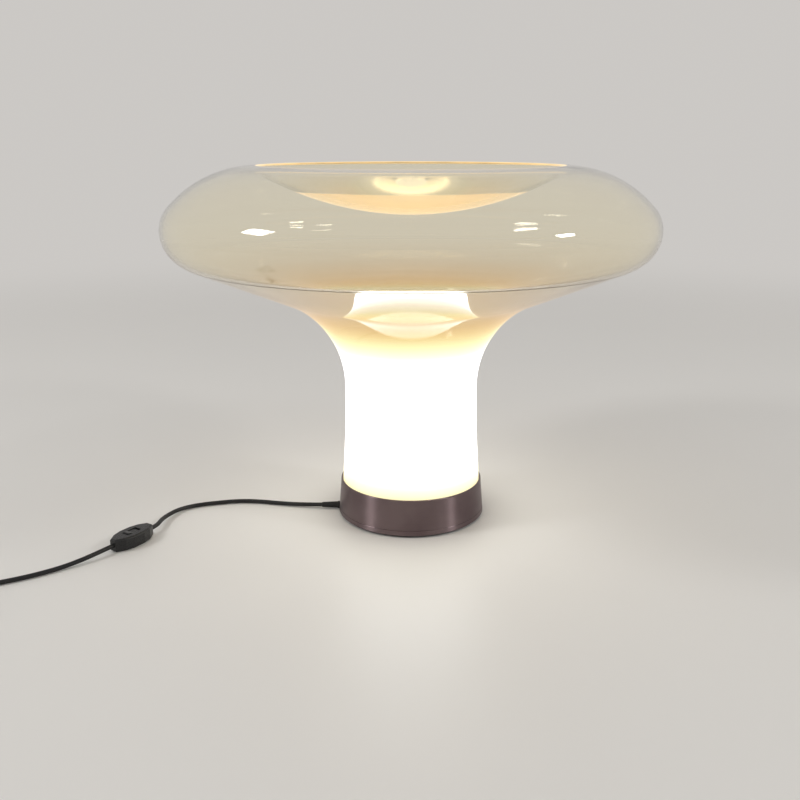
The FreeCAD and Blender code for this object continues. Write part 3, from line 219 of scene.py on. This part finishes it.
class Finish:
    def __init__(self, name, world=False):
        store = bpy.data.worlds if world else bpy.data.materials
        self.output = "ShaderNodeOutputWorld" if world else "ShaderNodeOutputMaterial"
        self.material = store.new(name)
        self.material.use_nodes = True
        self.tree = self.material.node_tree
        self.tree.nodes.clear()

    def node(self, kind, settings=None, sockets=None, out=0):
        made = self.tree.nodes.new(kind)
        for key, value in (settings or {}).items():
            if key == "stops":
                self.setStops(made.color_ramp, value)
            else:
                setattr(made, key, value)
        for key, value in (sockets or {}).items():
            if isinstance(value, Tap):
                self.tree.links.new(value.socket, made.inputs[key])
            else:
                made.inputs[key].default_value = value
        return Tap(self, made.outputs[out]) if len(made.outputs) else made

    def setStops(self, ramp, stops):
        while len(ramp.elements) < len(stops):
            ramp.elements.new(0.5)
        for element, (position, colour) in zip(ramp.elements, stops):
            element.position = position
            element.color = (*colour, 1.0)

    def blend(self, factor, first, second):
        return self.node("ShaderNodeMix", {"data_type": "RGBA"}, {0: factor, 6: first, 7: second}, out=2)

    def place(self):
        return self.node("ShaderNodeTexCoord", out=3)

    def height(self):
        return self.node("ShaderNodeSeparateXYZ", {}, {0: self.place()}, out=2)

    def axisDistance(self):
        flat = self.node("ShaderNodeMapping", {}, {"Vector": self.place(), "Scale": (1.0, 1.0, 0.0)})
        return self.node("ShaderNodeVectorMath", {"operation": "LENGTH"}, {0: flat}, out=1)

    def stretched(self, scale):
        return self.node("ShaderNodeMapping", {}, {"Vector": self.place(), "Scale": scale})

    def noise(self, scale, detail=3.0, roughness=0.5, vector=None):
        sockets = {"Vector": vector or self.place(), "Scale": scale, "Detail": detail, "Roughness": roughness}
        return self.node("ShaderNodeTexNoise", {}, sockets)

    def ranged(self, value, low, high, outLow, outHigh, smooth=False):
        kind = "SMOOTHERSTEP" if smooth else "LINEAR"
        sockets = {"Value": value, "From Min": low, "From Max": high, "To Min": outLow, "To Max": outHigh}
        return self.node("ShaderNodeMapRange", {"interpolation_type": kind}, sockets)

    def spread(self, noise, low, high):
        # noise seldom leaves 0.3 to 0.7, so that part of it covers low to high
        return self.ranged(noise, 0.3, 0.7, low, high)

    def bump(self, height, strength, distance):
        return self.node("ShaderNodeBump", {}, {"Height": height, "Strength": strength, "Distance": distance})

    def ramp(self, value, stops):
        return self.node("ShaderNodeValToRGB", {"stops": stops}, {0: value})

    def principled(self, sockets):
        return self.node("ShaderNodeBsdfPrincipled", {}, sockets)

    def mixed(self, factor, first, second):
        return self.node("ShaderNodeMixShader", {}, {0: factor, 1: first, 2: second})

    def seenRays(self):
        # 1 for the rays that show the backdrop: straight ones and those off metal or through glass
        straight, glossy, through = [self.node("ShaderNodeLightPath", out=k) for k in (0, 3, 6)]
        either = self.node("ShaderNodeMath", {"operation": "MAXIMUM"}, {0: straight, 1: glossy})
        return self.node("ShaderNodeMath", {"operation": "MAXIMUM"}, {0: either, 1: through})

    def show(self, surface):
        self.node(self.output, {}, {"Surface": surface})
        return self.material


def colour(red, green, blue):
    return (red, green, blue, 1.0)


def deeper(tone, share):
    return colour(*[part * share for part in tone[:3]])


def dress(piece, material):
    slots = piece.data.materials
    if not len(slots):
        slots.append(material)
    for index in range(len(slots)):
        slots[index] = material


def dressNodes(material, *names):
    for name in names:
        dress(cadNodes[name], material)


# blown glass: one wall, opal in the stem and clear in the cap. The opal's glow is painted light that stands
# in for the bulb shining through it

glassSetup = {
    "wall": 0.0032,
    "foot": 0.020,
    "neckCurve": 0.150,
    "neckTop": 0.052,
    "waist": 0.0716,
    "waistHeight": 0.1465,
    "stemCurve": 1.150,
    "flare": 0.1057,
    "underSlope": 22.6,
    "capRadius": 0.255,
    "capHeight": 0.3174,
    "shoulder": 0.0337,
    "shoulderAngle": 40.8,
    "rimRadius": 0.158,
    "rimAngle": 90.0,
    "fold": 0.005,
    "foldAngle": 135.0,
    "dishEdge": 0.020,
    "dishAngle": 120.0,
    "segments": 224,
    "steps": {"neck": 6, "stem": 16, "flare": 30, "under": 6, "low": 20, "shoulder": 16, "crown": 22,
              "fold": 10, "dishEdge": 12, "bowl": 24},
    "tint": colour(1.0, 0.975, 0.88),
    # strengths of the opal's painted glow, outside and inside
    "outerGlow": 3.0,
    "innerGlow": 3.2,
    "opalBodyFromGlow": 0.5,
    "opalWaver": 0.005,
    # the rim's tone and glow are painted light
    "rimPaintedTone": colour(0.55, 0.38, 0.16),
    "rimGlow": colour(0.74, 0.52, 0.23),
    "rimShare": (0.7225, 0.935),
    # the veil's shares and tones below set a painted glow, partly opal veil and partly painted reflection
    "veilRadius": 0.121,
    "veilBlur": 0.0015,
    "veilWaver": 0.006,
    "veilFacing": (0.3, 0.75),
    "veilGlowShare": (0.10, 0.56),
    "veilGlowMiddle": (1.0, 0.76, 0.42),
    "veilGlowEdge": (0.78, 0.56, 0.30),
}
# heights in metres, the share of opal over clear glass there, and the colour of the opal's painted glow
# there, brightest in the middle of the stem and dimmer below and above, standing in for the bulb's light
# through the opal
outerOpalPaintedGlow = [
    (0.040, 1.0, (0.33, 0.30, 0.18)),
    (0.052, 1.0, (0.40, 0.39, 0.29)),
    (0.068, 1.0, (0.75, 0.75, 0.66)),
    (0.085, 1.0, (1.0, 1.0, 0.98)),
    (0.160, 1.0, (1.0, 1.0, 1.0)),
    (0.186, 1.0, (0.42, 0.42, 0.39)),
    (0.197, 1.0, (0.33, 0.33, 0.25)),
    (0.205, 0.97, (0.325, 0.32, 0.18)),
    (0.212, 0.86, (0.32, 0.28, 0.14)),
    (0.220, 0.70, (0.31, 0.23, 0.10)),
    (0.230, 0.52, (0.28, 0.18, 0.07)),
    (0.243, 0.32, (0.25, 0.15, 0.05)),
    (0.262, 0.13, (0.20, 0.12, 0.04)),
    (0.285, 0.04, (0.20, 0.12, 0.04)),
    (0.320, 0.0, (0.2, 0.12, 0.04)),
]
innerOpalPaintedGlow = [
    (0.020, 1.0, (0.6, 0.46, 0.24)),
    (0.110, 1.0, (1.0, 0.84, 0.5)),
    (0.150, 1.0, (1.0, 0.86, 0.54)),
    (0.178, 1.0, (0.2, 0.18, 0.12)),
    (0.200, 1.0, (0.16, 0.14, 0.085)),
    (0.212, 0.80, (0.14, 0.11, 0.06)),
    (0.225, 0.50, (0.12, 0.08, 0.04)),
    (0.240, 0.24, (0.10, 0.06, 0.025)),
    (0.262, 0.08, (0.09, 0.05, 0.02)),
    (0.290, 0.0, (0.09, 0.05, 0.02)),
]


def cosine(angle):
    return math.cos(math.radians(angle))


def sine(angle):
    return math.sin(math.radians(angle))


def bendProfile(profile, radius, lastAngle, steps, side):
    # a tangent arc: side 1 bulges outwards, side -1 is hollow. Points carry their normal's angle
    r, z, angle = profile[-1]
    middle = (r - side * radius * cosine(angle), z - side * radius * sine(angle))
    for k in range(1, steps + 1):
        a = angle + (lastAngle - angle) * k / steps
        profile.append((middle[0] + side * radius * cosine(a), middle[1] + side * radius * sine(a), a))


def glassProfile(s):
    steps = s["steps"]
    lean = 90 - s["underSlope"]
    tilt = math.degrees(math.asin((s["waistHeight"] - s["neckTop"]) / s["stemCurve"]))
    neck = s["waist"] + s["stemCurve"] * (1 - cosine(tilt)) + s["neckCurve"] * (1 - cosine(tilt))
    profile = [(neck, s["foot"], 0.0), (neck, s["neckTop"] - s["neckCurve"] * sine(tilt), 0.0)]
    bendProfile(profile, s["neckCurve"], tilt, steps["neck"], 1)
    bendProfile(profile, s["stemCurve"], 0.0, steps["stem"], -1)
    bendProfile(profile, s["flare"], -lean, steps["flare"], -1)
    slope = math.tan(math.radians(s["underSlope"]))
    r, z = profile[-1][:2]
    low = (s["capHeight"] - z - slope * (s["capRadius"] - r)) / (sine(lean) - slope * (1 - cosine(lean)))
    lowStart = (s["capRadius"] - low * (1 - cosine(lean)), s["capHeight"] - low * sine(lean))
    for k in range(1, steps["under"] + 1):
        share = k / steps["under"]
        profile.append((r + (lowStart[0] - r) * share, z + (lowStart[1] - z) * share, -lean))
    bendProfile(profile, low, 0.0, steps["low"], 1)
    bendProfile(profile, s["shoulder"], s["shoulderAngle"], steps["shoulder"], 1)
    crown = (profile[-1][0] - s["rimRadius"]) / (cosine(s["shoulderAngle"]) - cosine(s["rimAngle"]))
    bendProfile(profile, crown, s["rimAngle"], steps["crown"], 1)
    rimStart = len(profile) - 1
    bendProfile(profile, s["fold"], s["foldAngle"], steps["fold"], 1)
    dishStart = len(profile) - 1
    bendProfile(profile, s["dishEdge"], s["dishAngle"], steps["dishEdge"], -1)
    bowl = profile[-1][0] / sine(s["dishAngle"] - 90)
    bendProfile(profile, bowl, 90.0, steps["bowl"], -1)
    profile[-1] = (0.0, *profile[-1][1:])
    return profile, rimStart, dishStart


def lathe(name, profile, segments, slots):
    # turns (radius, height) points about Z. Points on the axis become one vertex, and slots holds
    # the material slot of the faces that start at each point
    mesh = bpy.data.meshes.new(name)
    work = bmesh.new()
    onAxis = 1e-7
    rings = []
    for radius, height in profile:
        if radius < onAxis:
            rings.append([work.verts.new((0, 0, height))])
            continue
        ring = []
        for k in range(segments):
            angle = 2 * math.pi * k / segments
            ring.append(work.verts.new((radius * math.cos(angle), radius * math.sin(angle), height)))
        rings.append(ring)
    for place, (low, high) in enumerate(zip(rings, rings[1:] + rings[:1])):
        if len(low) == 1 and len(high) == 1:
            continue
        for k in range(segments):
            after = (k + 1) % segments
            if len(low) == 1:
                face = work.faces.new((low[0], high[after], high[k]))
            elif len(high) == 1:
                face = work.faces.new((low[k], low[after], high[0]))
            else:
                face = work.faces.new((low[k], low[after], high[after], high[k]))
            face.material_index = slots[place]
    bmesh.ops.recalc_face_normals(work, faces=work.faces)
    for face in work.faces:
        face.smooth = True
    work.to_mesh(mesh)
    work.free()
    piece = bpy.data.objects.new(name, mesh)
    bpy.context.scene.collection.objects.link(piece)
    return piece


def addGlass(s):
    outer, rimStart, dishStart = glassProfile(s)
    wall = s["wall"]
    inner = [(max(r - wall * cosine(a), 0.0), z - wall * sine(a)) for r, z, a in outer]
    inner[-1] = (0.0, outer[-1][1] - wall)
    profile = [(r, z) for r, z, a in outer] + inner[::-1]
    outside, inside, rim, veil = range(4)
    count = len(outer)
    outerSlots = [rim if rimStart <= k < dishStart else outside for k in range(count)]
    innerSlots = [veil if k >= dishStart else rim if k >= rimStart else inside for k in range(count - 1)]
    return lathe("blown_glass", profile, s["segments"], outerSlots + innerSlots[::-1] + [outside])


def clearGlass(f, s):
    return f.principled({
        "Base Color": s["tint"],
        "Roughness": 0.0,
        "IOR": 1.5,
        "Transmission Weight": 1.0,
        "Normal": f.bump(f.noise(14.0, detail=1.0), 0.05, 0.001),
    })


def glowingOpal(f, tone, emission, strength):
    return f.principled({
        "Base Color": tone,
        "Roughness": 0.1,
        "IOR": 1.5,
        "Emission Color": emission,
        "Emission Strength": strength,
    })


def opalFinish(name, s, table, glow):
    # one skin of the wall: opal below that thins out upwards into clear glass. The opal has a painted glow
    # for the bulb's light through it, and its base colour follows that glow, so it carries painted shade too
    f = Finish(name)
    low, high = table[0][0], table[-1][0]
    waver = (f.noise(9.0, detail=2.0) - 0.5) * s["opalWaver"]
    share = f.ranged(f.height() + waver, low, high, 0.0, 1.0)
    rows = [((z - low) / (high - low), stop, shade) for z, stop, shade in table]
    clear = [(place, (1 - stop,) * 3) for place, stop, shade in rows]
    glowing = [(place, shade) for place, stop, shade in rows]
    body = [(place, tuple(s["opalBodyFromGlow"] * tone for tone in shade)) for place, stop, shade in rows]
    opal = glowingOpal(f, f.ramp(share, body), f.ramp(share, glowing), glow)
    return f.show(f.mixed(f.ramp(share, clear), opal, clearGlass(f, s)))


def rimGlowFinish(s):
    # the folded rim gets a painted gold glow and gold base colour, standing in for the light that runs along
    # inside a glass wall and leaves at its edge
    f = Finish("blownGlassRimGlow")
    glow = glowingOpal(f, s["rimPaintedTone"], s["rimGlow"], 1.0)
    share = f.spread(f.noise(30.0), *s["rimShare"])
    return f.show(f.mixed(share, clearGlass(f, s), glow))


def veilGlowFinish(s):
    # the bottom of the dish carries a thin veil of opal with a wavering edge, and a painted glow that stands
    # in for the lit stem's reflection in the dish's underside. It is faint from straight above and denser
    # where it is seen along its surface
    f = Finish("blownGlassVeilGlow")
    waver = (f.noise(16.0, detail=2.0) - 0.5) * s["veilWaver"]
    radius = f.axisDistance() + waver
    edge, blur = s["veilRadius"], s["veilBlur"]
    inside = f.ranged(radius, edge - blur, edge + blur, 1.0, 0.0, smooth=True)
    facing = f.node("ShaderNodeLayerWeight", {}, {"Blend": 0.5}, out=1)
    share = inside * f.ranged(facing, *s["veilFacing"], *s["veilGlowShare"], smooth=True)
    tone = f.ramp(radius / edge, [(0.0, s["veilGlowMiddle"]), (1.0, s["veilGlowEdge"])])
    return f.show(f.mixed(share, clearGlass(f, s), glowingOpal(f, colour(*s["veilGlowEdge"]), tone, 1.0)))


glass = addGlass(glassSetup)
for finish in (
    opalFinish("blownGlassOutside", glassSetup, outerOpalPaintedGlow, glassSetup["outerGlow"]),
    opalFinish("blownGlassInside", glassSetup, innerOpalPaintedGlow, glassSetup["innerGlow"]),
    rimGlowFinish(glassSetup),
    veilGlowFinish(glassSetup),
):
    glass.data.materials.append(finish)
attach(glass, "glass")
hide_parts("glass_diffuser")
print("glass blown")


# metals

metalSetup = {
    # the ring's two colours carry a painted reflection: dark and plum, as if the metal mirrored a dark red
    # room
    "ringColourAndPaintedReflection": colour(0.215, 0.163, 0.168),
    "ringWearAndPaintedReflection": colour(0.175, 0.13, 0.135),
    "ringRoughness": (0.36, 0.44),
    "ringGrain": 1.0,
    "ringLines": (6.0, 6.0, 2600.0),
    "ringLineShare": 0.6,
    "zincColour": colour(0.6, 0.6, 0.58),
    "brassColour": colour(0.8, 0.6, 0.28),
    "aluminiumColour": colour(0.78, 0.78, 0.79),
    "nickelColour": colour(0.72, 0.7, 0.66),
    "plainGrain": 900.0,
    "plainRelief": 0.15,
    "plainDull": 0.82,
    "coatShades": (colour(0.018, 0.018, 0.018), colour(0.03, 0.03, 0.03)),
}


def ringFinish(s):
    # fine turning lines that run round the ring, and a few faint smudges. Both its colours are darkened and
    # tinted plum from the metal's own grey: a painted reflection of a dark red room
    f = Finish("spunRingMetal")
    lines = f.noise(1.0, detail=4.0, roughness=0.7, vector=f.stretched(s["ringLines"]))
    smudge = f.noise(22.0, detail=3.0)
    both = lines * s["ringLineShare"] + smudge * (1 - s["ringLineShare"])
    roughness = f.ranged(both, 0.35, 0.65, *s["ringRoughness"])
    tint = f.blend(f.ranged(smudge, 0.4, 0.7, 0.0, 1.0), s["ringColourAndPaintedReflection"], s["ringWearAndPaintedReflection"])
    return f.show(f.principled({
        "Base Color": tint,
        "Metallic": 1.0,
        "Roughness": roughness,
        "Anisotropic": s["ringGrain"],
        "Anisotropic Rotation": 0.25,
        "Normal": f.bump(lines, 0.12, 0.0001),
    }))


def plainMetal(name, s, base, roughness):
    # a fine speckle, and cloudy patches where the metal has gone dull
    f = Finish(name)
    speckle = f.noise(s["plainGrain"], detail=2.0)
    patch = f.noise(60.0, detail=2.0)
    dull = deeper(base, s["plainDull"])
    return f.show(f.principled({
        "Base Color": f.blend(f.ranged(patch, 0.35, 0.7, 0.0, 1.0), base, dull),
        "Metallic": 1.0,
        "Roughness": f.spread(speckle, roughness * 0.8, roughness * 1.3),
        "Normal": f.bump(speckle, s["plainRelief"], 0.00005),
    }))


def coatFinish(s):
    # powder coat: a fine orange-peel skin
    f = Finish("powderCoat")
    peel = f.noise(1400.0, detail=2.0)
    return f.show(f.principled({
        "Base Color": f.blend(f.noise(80.0), *s["coatShades"]),
        "Roughness": f.spread(peel, 0.5, 0.62),
        "Normal": f.bump(peel, 0.3, 0.00012),
    }))


zinc = plainMetal("zincPlate", metalSetup, metalSetup["zincColour"], 0.35)
brass = plainMetal("yellowBrass", metalSetup, metalSetup["brassColour"], 0.25)
aluminium = plainMetal("bulbAluminium", metalSetup, metalSetup["aluminiumColour"], 0.3)
nickel = plainMetal("nickelPin", metalSetup, metalSetup["nickelColour"], 0.2)
coat = coatFinish(metalSetup)
dressNodes(ringFinish(metalSetup), "base_ring")
dressNodes(zinc, "spacer_posts", "base_screws", "seat_screws", "bracket_screws", "cord_clamp_screws",
           "holder_bracket", "nipple_washer", "switch_pivot_pin", "switch_screws", "bulb_tip")
dressNodes(coat, "base_plate", "seat_plate", "cord_clamp")
dressNodes(brass, "holder_nipple", "nipple_nut", "lampholder_thread", "lampholder_contact", "terminal_screws",
           "switch_bridge", "switch_contacts")
dressNodes(aluminium, "bulb_cap")
dressNodes(nickel, "plug_pins")
print("metals dressed")


# rubber, plastics, felt and ceramic

softSetup = {
    "felt": (colour(0.012, 0.012, 0.012), colour(0.035, 0.034, 0.033)),
    "jacket": (colour(0.010, 0.010, 0.011), colour(0.022, 0.021, 0.021)),
    "switch": (colour(0.011, 0.011, 0.012), colour(0.02, 0.02, 0.02)),
    "holder": (colour(0.74, 0.72, 0.67), colour(0.80, 0.78, 0.73)),
    "steatite": (colour(0.76, 0.74, 0.68), colour(0.84, 0.82, 0.77)),
}


def moulded(name, shades, roughness, grain, strength, shine=0.5):
    # a fine moulded texture, and a slow change between the two shades
    f = Finish(name)
    texture = f.noise(grain, detail=3.0)
    cloud = f.noise(35.0, detail=2.0)
    return f.show(f.principled({
        "Base Color": f.blend(f.spread(cloud, 0.0, 1.0), *shades),
        "Roughness": f.spread(texture, roughness - 0.06, roughness + 0.08),
        "Specular IOR Level": shine,
        "Normal": f.bump(texture, strength, 0.0001),
    }))


def feltFinish(shades):
    f = Finish("denseFelt")
    fibres = f.noise(1800.0, detail=5.0, roughness=0.75)
    clump = f.noise(240.0, detail=3.0)
    return f.show(f.principled({
        "Base Color": f.blend(f.spread(fibres, 0.0, 1.0), *shades),
        "Roughness": 0.95,
        "Sheen Weight": 0.3,
        "Normal": f.bump(fibres + clump * 0.6, 0.8, 0.0004),
    }))


jacket = moulded("cordJacket", softSetup["jacket"], 0.42, 600.0, 0.12, 0.3)
rubber = moulded("softRubber", softSetup["jacket"], 0.6, 900.0, 0.2, 0.3)
switchPlastic = moulded("switchPlastic", softSetup["switch"], 0.3, 1200.0, 0.15, 0.35)
plugPlastic = moulded("plugPlastic", softSetup["switch"], 0.45, 900.0, 0.25, 0.35)
holderPlastic = moulded("holderPlastic", softSetup["holder"], 0.4, 700.0, 0.1)
steatite = moulded("steatite", softSetup["steatite"], 0.55, 1500.0, 0.25)
leadSleeve = moulded("leadSleeve", softSetup["holder"], 0.5, 1800.0, 0.4)
insulation = moulded("blackInsulation", softSetup["switch"], 0.15, 300.0, 0.05)
dress(lampCord, jacket)
dress(plugCord, jacket)
dressNodes(jacket, "cord_inner")
dressNodes(rubber, "cord_bush", "glass_gasket", "lead_grommet", "plug_relief")
dressNodes(switchPlastic, "switch_lower_half", "switch_upper_half", "switch_rocker")
dressNodes(plugPlastic, "plug_body")
dressNodes(holderPlastic, "lampholder_cap", "lampholder_skirt")
dressNodes(steatite, "lampholder_insert")
dressNodes(leadSleeve, "inner_leads")
dressNodes(insulation, "bulb_insulator")
dressNodes(feltFinish(softSetup["felt"]), "base_pad")
print("plastics, rubber and felt dressed")


# lit bulb

bulbSetup = {
    "frost": colour(0.9, 0.86, 0.78),
    "glow": colour(1.0, 0.86, 0.6),
    "capGlow": colour(0.25, 0.17, 0.08),
    "glowHeights": (0.09, 0.135),
    "glowShare": (0.3, 1.0),
    "strength": 2.5,
    "wireMetal": colour(0.3, 0.27, 0.24),
    "wireGlow": colour(1.0, 0.7, 0.35),
    "wireStrength": 4.0,
    "stemTint": colour(0.93, 0.96, 0.94),
}


def frostFinish(s):
    # frosted envelope, at its brightest from the globe's waist up and dimmer down at the cap
    f = Finish("frostedBulb")
    share = f.ranged(f.height(), *s["glowHeights"], *s["glowShare"], smooth=True)
    glow = f.blend(share, s["capGlow"], s["glow"])
    grain = f.noise(1500.0, detail=2.0)
    return f.show(f.principled({
        "Base Color": s["frost"],
        "Roughness": 0.5,
        "Emission Color": glow,
        "Emission Strength": s["strength"],
        "Normal": f.bump(grain, 0.2, 0.00005),
    }))


def wireFinish(s):
    f = Finish("filamentWire")
    grain = f.noise(3000.0)
    return f.show(f.principled({
        "Base Color": s["wireMetal"],
        "Metallic": 1.0,
        "Roughness": f.spread(grain, 0.3, 0.5),
        "Emission Color": s["wireGlow"],
        "Emission Strength": s["wireStrength"],
    }))


def stemGlassFinish(s):
    f = Finish("stemGlass")
    grain = f.noise(200.0, detail=1.0)
    return f.show(f.principled({
        "Base Color": s["stemTint"],
        "Roughness": f.spread(grain, 0.02, 0.06),
        "IOR": 1.5,
        "Transmission Weight": 1.0,
    }))


dressNodes(frostFinish(bulbSetup), "bulb_envelope")
dressNodes(wireFinish(bulbSetup), "bulb_filament")
dressNodes(stemGlassFinish(bulbSetup), "bulb_mount")
dressNodes(zinc, "bulb_wires")
print("bulb dressed")


# stage: a pale floor, a pale room and soft lights

stageSetup = {
    "floorRadius": 7.0,
    "floorSides": 96,
    "floorDrop": 0.0003,
    "floorRoughness": 0.42,
    "floorCloud": 0.97,
    "floorColour": colour(0.80, 0.785, 0.76),
    "fadeFrom": 0.8,
    "fadeTo": 2.6,
    "backdrop": colour(0.60, 0.58, 0.557),
    "roomLight": colour(0.55, 0.54, 0.525),
}
softBoxes = {
    "keyBox": {"place": (-1.80, -0.52, 1.50), "aim": (0, 0, 0.33), "size": (0.43, 0.44), "watts": 12.0},
    "fillBox": {"place": (1.85, -0.66, 1.28), "aim": (0, 0, 0.33), "size": (0.30, 0.22), "watts": 7.5},
    "highBox": {"place": (1.33, -0.66, 1.95), "aim": (0, 0, 0.33), "size": (0.40, 0.10), "watts": 1.6},
}


def addFloor(s):
    # the floor turns into the backdrop's colour far out, so the horizon is soft
    f = Finish("paleFloor")
    cloud = f.noise(3.0, detail=4.0)
    shades = s["floorColour"], deeper(s["floorColour"], s["floorCloud"])
    painted = f.principled({"Base Color": f.blend(cloud, *shades), "Roughness": s["floorRoughness"]})
    distance = f.node("ShaderNodeVectorMath", {"operation": "LENGTH"}, {0: f.place()}, out=1)
    fade = f.ranged(distance, s["fadeFrom"], s["fadeTo"], 0.0, 1.0, smooth=True)
    far = f.node("ShaderNodeEmission", {}, {"Color": s["backdrop"], "Strength": 1.0})
    material = f.show(f.mixed(fade * f.seenRays(), painted, far))
    mesh = bpy.data.meshes.new("pale_floor")
    work = bmesh.new()
    bmesh.ops.create_circle(work, cap_ends=True, radius=s["floorRadius"], segments=s["floorSides"])
    work.to_mesh(mesh)
    work.free()
    floor = bpy.data.objects.new("pale_floor", mesh)
    bpy.context.scene.collection.objects.link(floor)
    floor.location = (0, 0, -s["floorDrop"])
    dress(floor, material)


def addRoom(s):
    f = Finish("paleRoom", world=True)
    lighting = f.node("ShaderNodeBackground", {}, {"Color": s["roomLight"], "Strength": 1.0})
    backdrop = f.node("ShaderNodeBackground", {}, {"Color": s["backdrop"], "Strength": 1.0})
    bpy.context.scene.world = f.show(f.mixed(f.seenRays(), lighting, backdrop))


def addSoftBox(name, s):
    data = bpy.data.lights.new(name, "AREA")
    data.shape = "RECTANGLE"
    data.size = s["size"][0]
    data.size_y = s["size"][1]
    data.energy = s["watts"]
    lamp = bpy.data.objects.new(name, data)
    bpy.context.scene.collection.objects.link(lamp)
    lamp.location = s["place"]
    way = Vector(s["aim"]) - Vector(s["place"])
    lamp.rotation_euler = way.to_track_quat("-Z", "Y").to_euler()


addFloor(stageSetup)
addRoom(stageSetup)
for boxName, boxSetup in softBoxes.items():
    addSoftBox(boxName, boxSetup)
bpy.context.scene.view_settings.view_transform = "Standard"
print("stage set")

bpy.context.view_layer.update()
